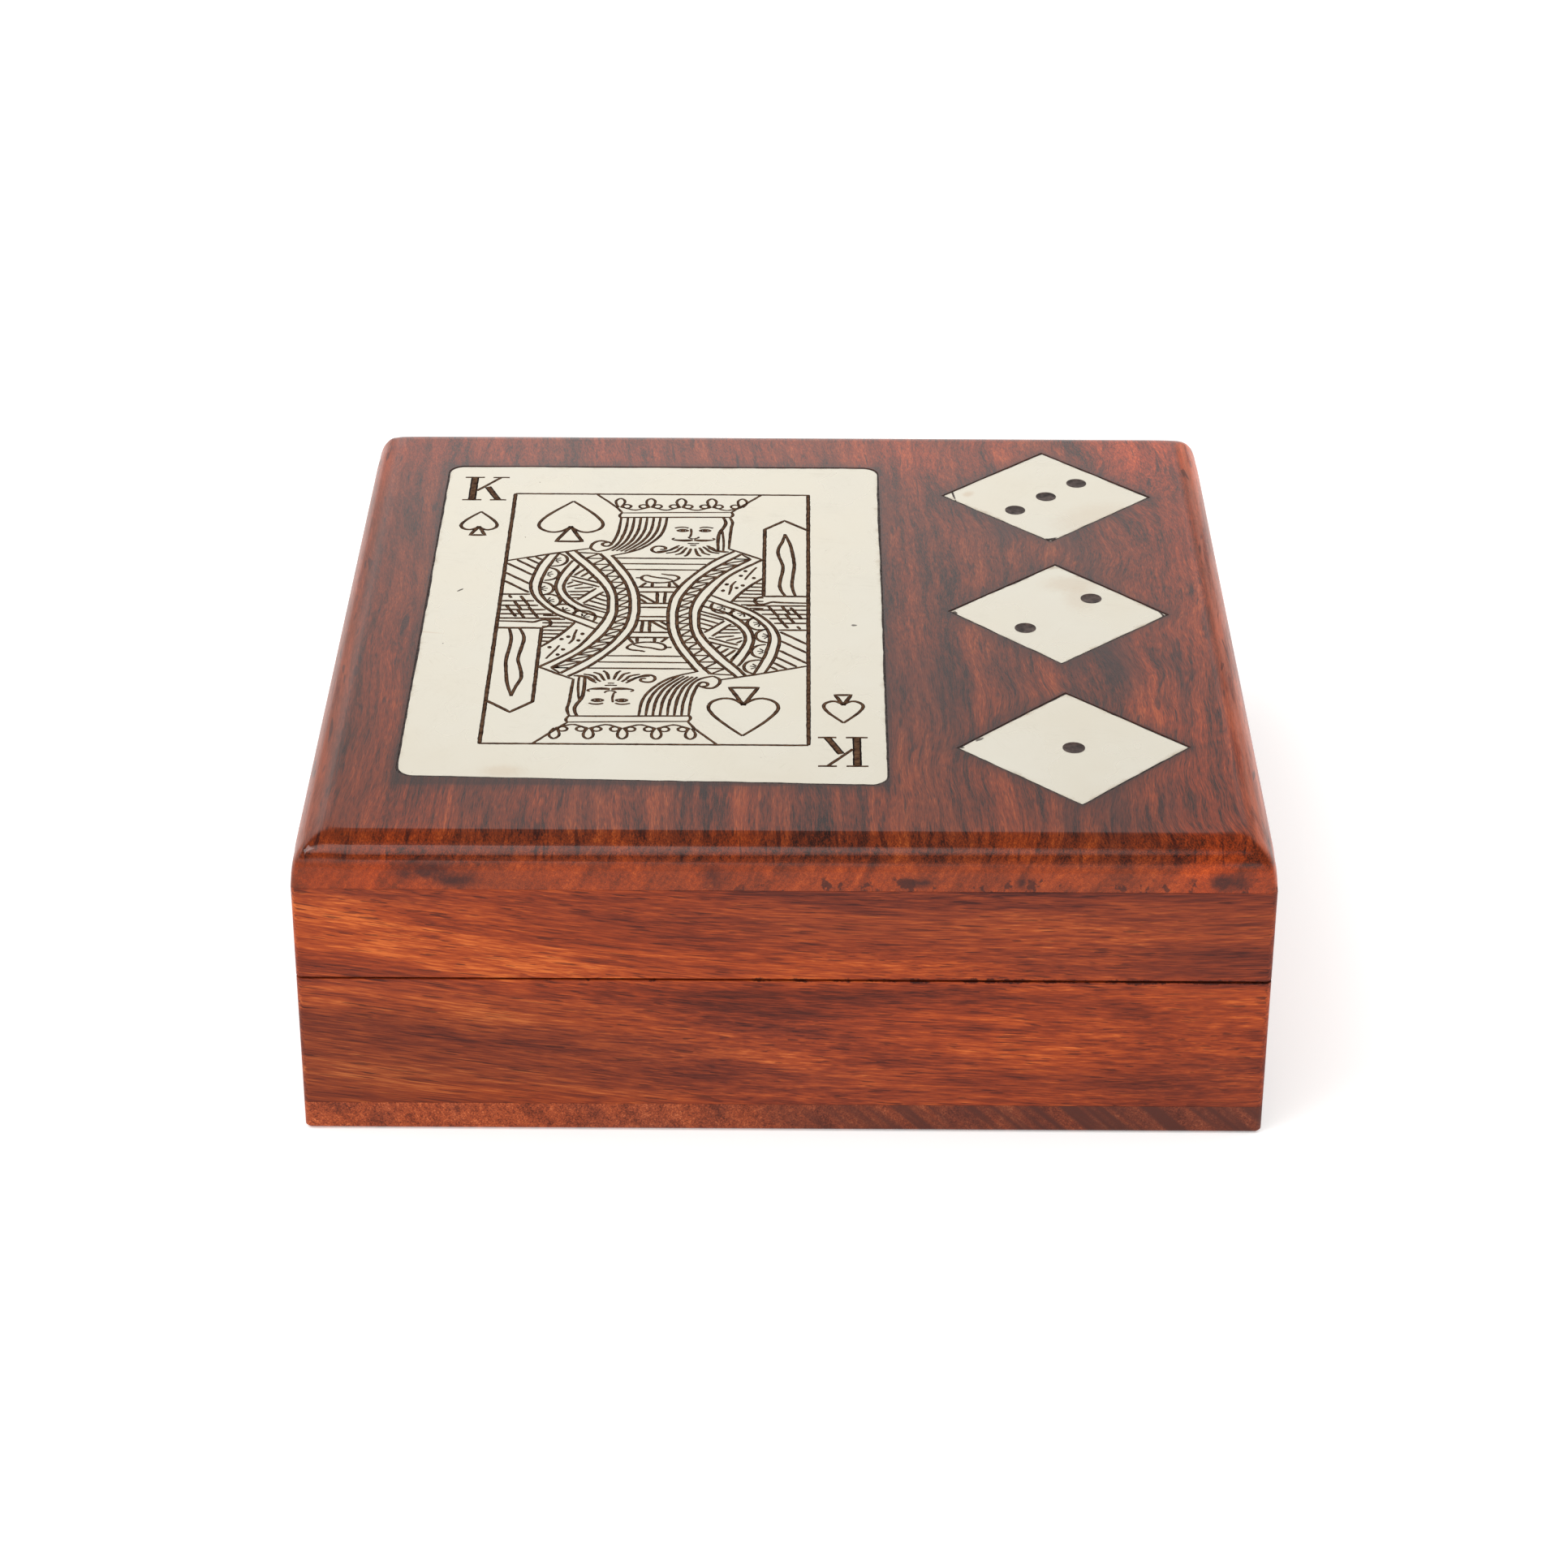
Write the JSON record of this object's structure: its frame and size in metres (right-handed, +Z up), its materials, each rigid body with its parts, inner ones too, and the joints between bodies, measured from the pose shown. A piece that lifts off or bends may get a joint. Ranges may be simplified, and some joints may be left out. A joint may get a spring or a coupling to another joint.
{
  "type": "card and dice box",
  "caption": "Flat wooden box for a deck of cards and a row of dice, with a divided base and a back-hinged lid whose board is inlaid with a card plate and dice plates.",
  "frame": {"origin": "centre of the flat underside of the wooden box", "axes": "+Z up out of the lid, +X to the right of someone facing the front, +Y to the back, where the hinges are"},
  "size_m": [0.114, 0.1204, 0.0388],
  "materials": {
    "rosewood": "lacquered red-brown rosewood, grain along the wall",
    "rosewood_boards": "gloss-lacquered red-brown rosewood, grain from front to back",
    "inlay_metal": "polished pale nickel-silver sheet, hand engraved",
    "dark_filler": "dark brown lacquer filler",
    "hinge_brass": "satin brass",
    "screw_brass": "satin brass, slotted heads"
  },
  "bodies": {
    "base": {"bottom_board": "rosewood_boards", "base_front_wall": "rosewood", "base_back_wall": "rosewood", "base_left_wall": "rosewood", "base_right_wall": "rosewood", "compartment_divider": "rosewood", "left_hinge_base_leaf": "hinge_brass", "left_hinge_pin": "hinge_brass", "left_hinge_base_screws": "screw_brass", "right_hinge_base_leaf": "hinge_brass", "right_hinge_pin": "hinge_brass", "right_hinge_base_screws": "screw_brass"},
    "lid": {"lid_front_wall": "rosewood", "lid_back_wall": "rosewood", "lid_left_wall": "rosewood", "lid_right_wall": "rosewood", "lid_board": "rosewood_boards", "card_plate": "inlay_metal", "die_one_plate": "inlay_metal", "die_one_pips": "dark_filler", "die_two_plate": "inlay_metal", "die_two_pips": "dark_filler", "die_three_plate": "inlay_metal", "die_three_pips": "dark_filler", "left_hinge_lid_leaf": "hinge_brass", "left_hinge_lid_screws": "screw_brass", "right_hinge_lid_leaf": "hinge_brass", "right_hinge_lid_screws": "screw_brass"}
  },
  "joints": [
    {"name": "lid_hinge", "type": "hinge", "parent": "base", "child": "lid", "pos_m": [0, 0.0603, 0.0211], "axis": [-1, 0, 0], "range_deg": [0, 180]}
  ]
}
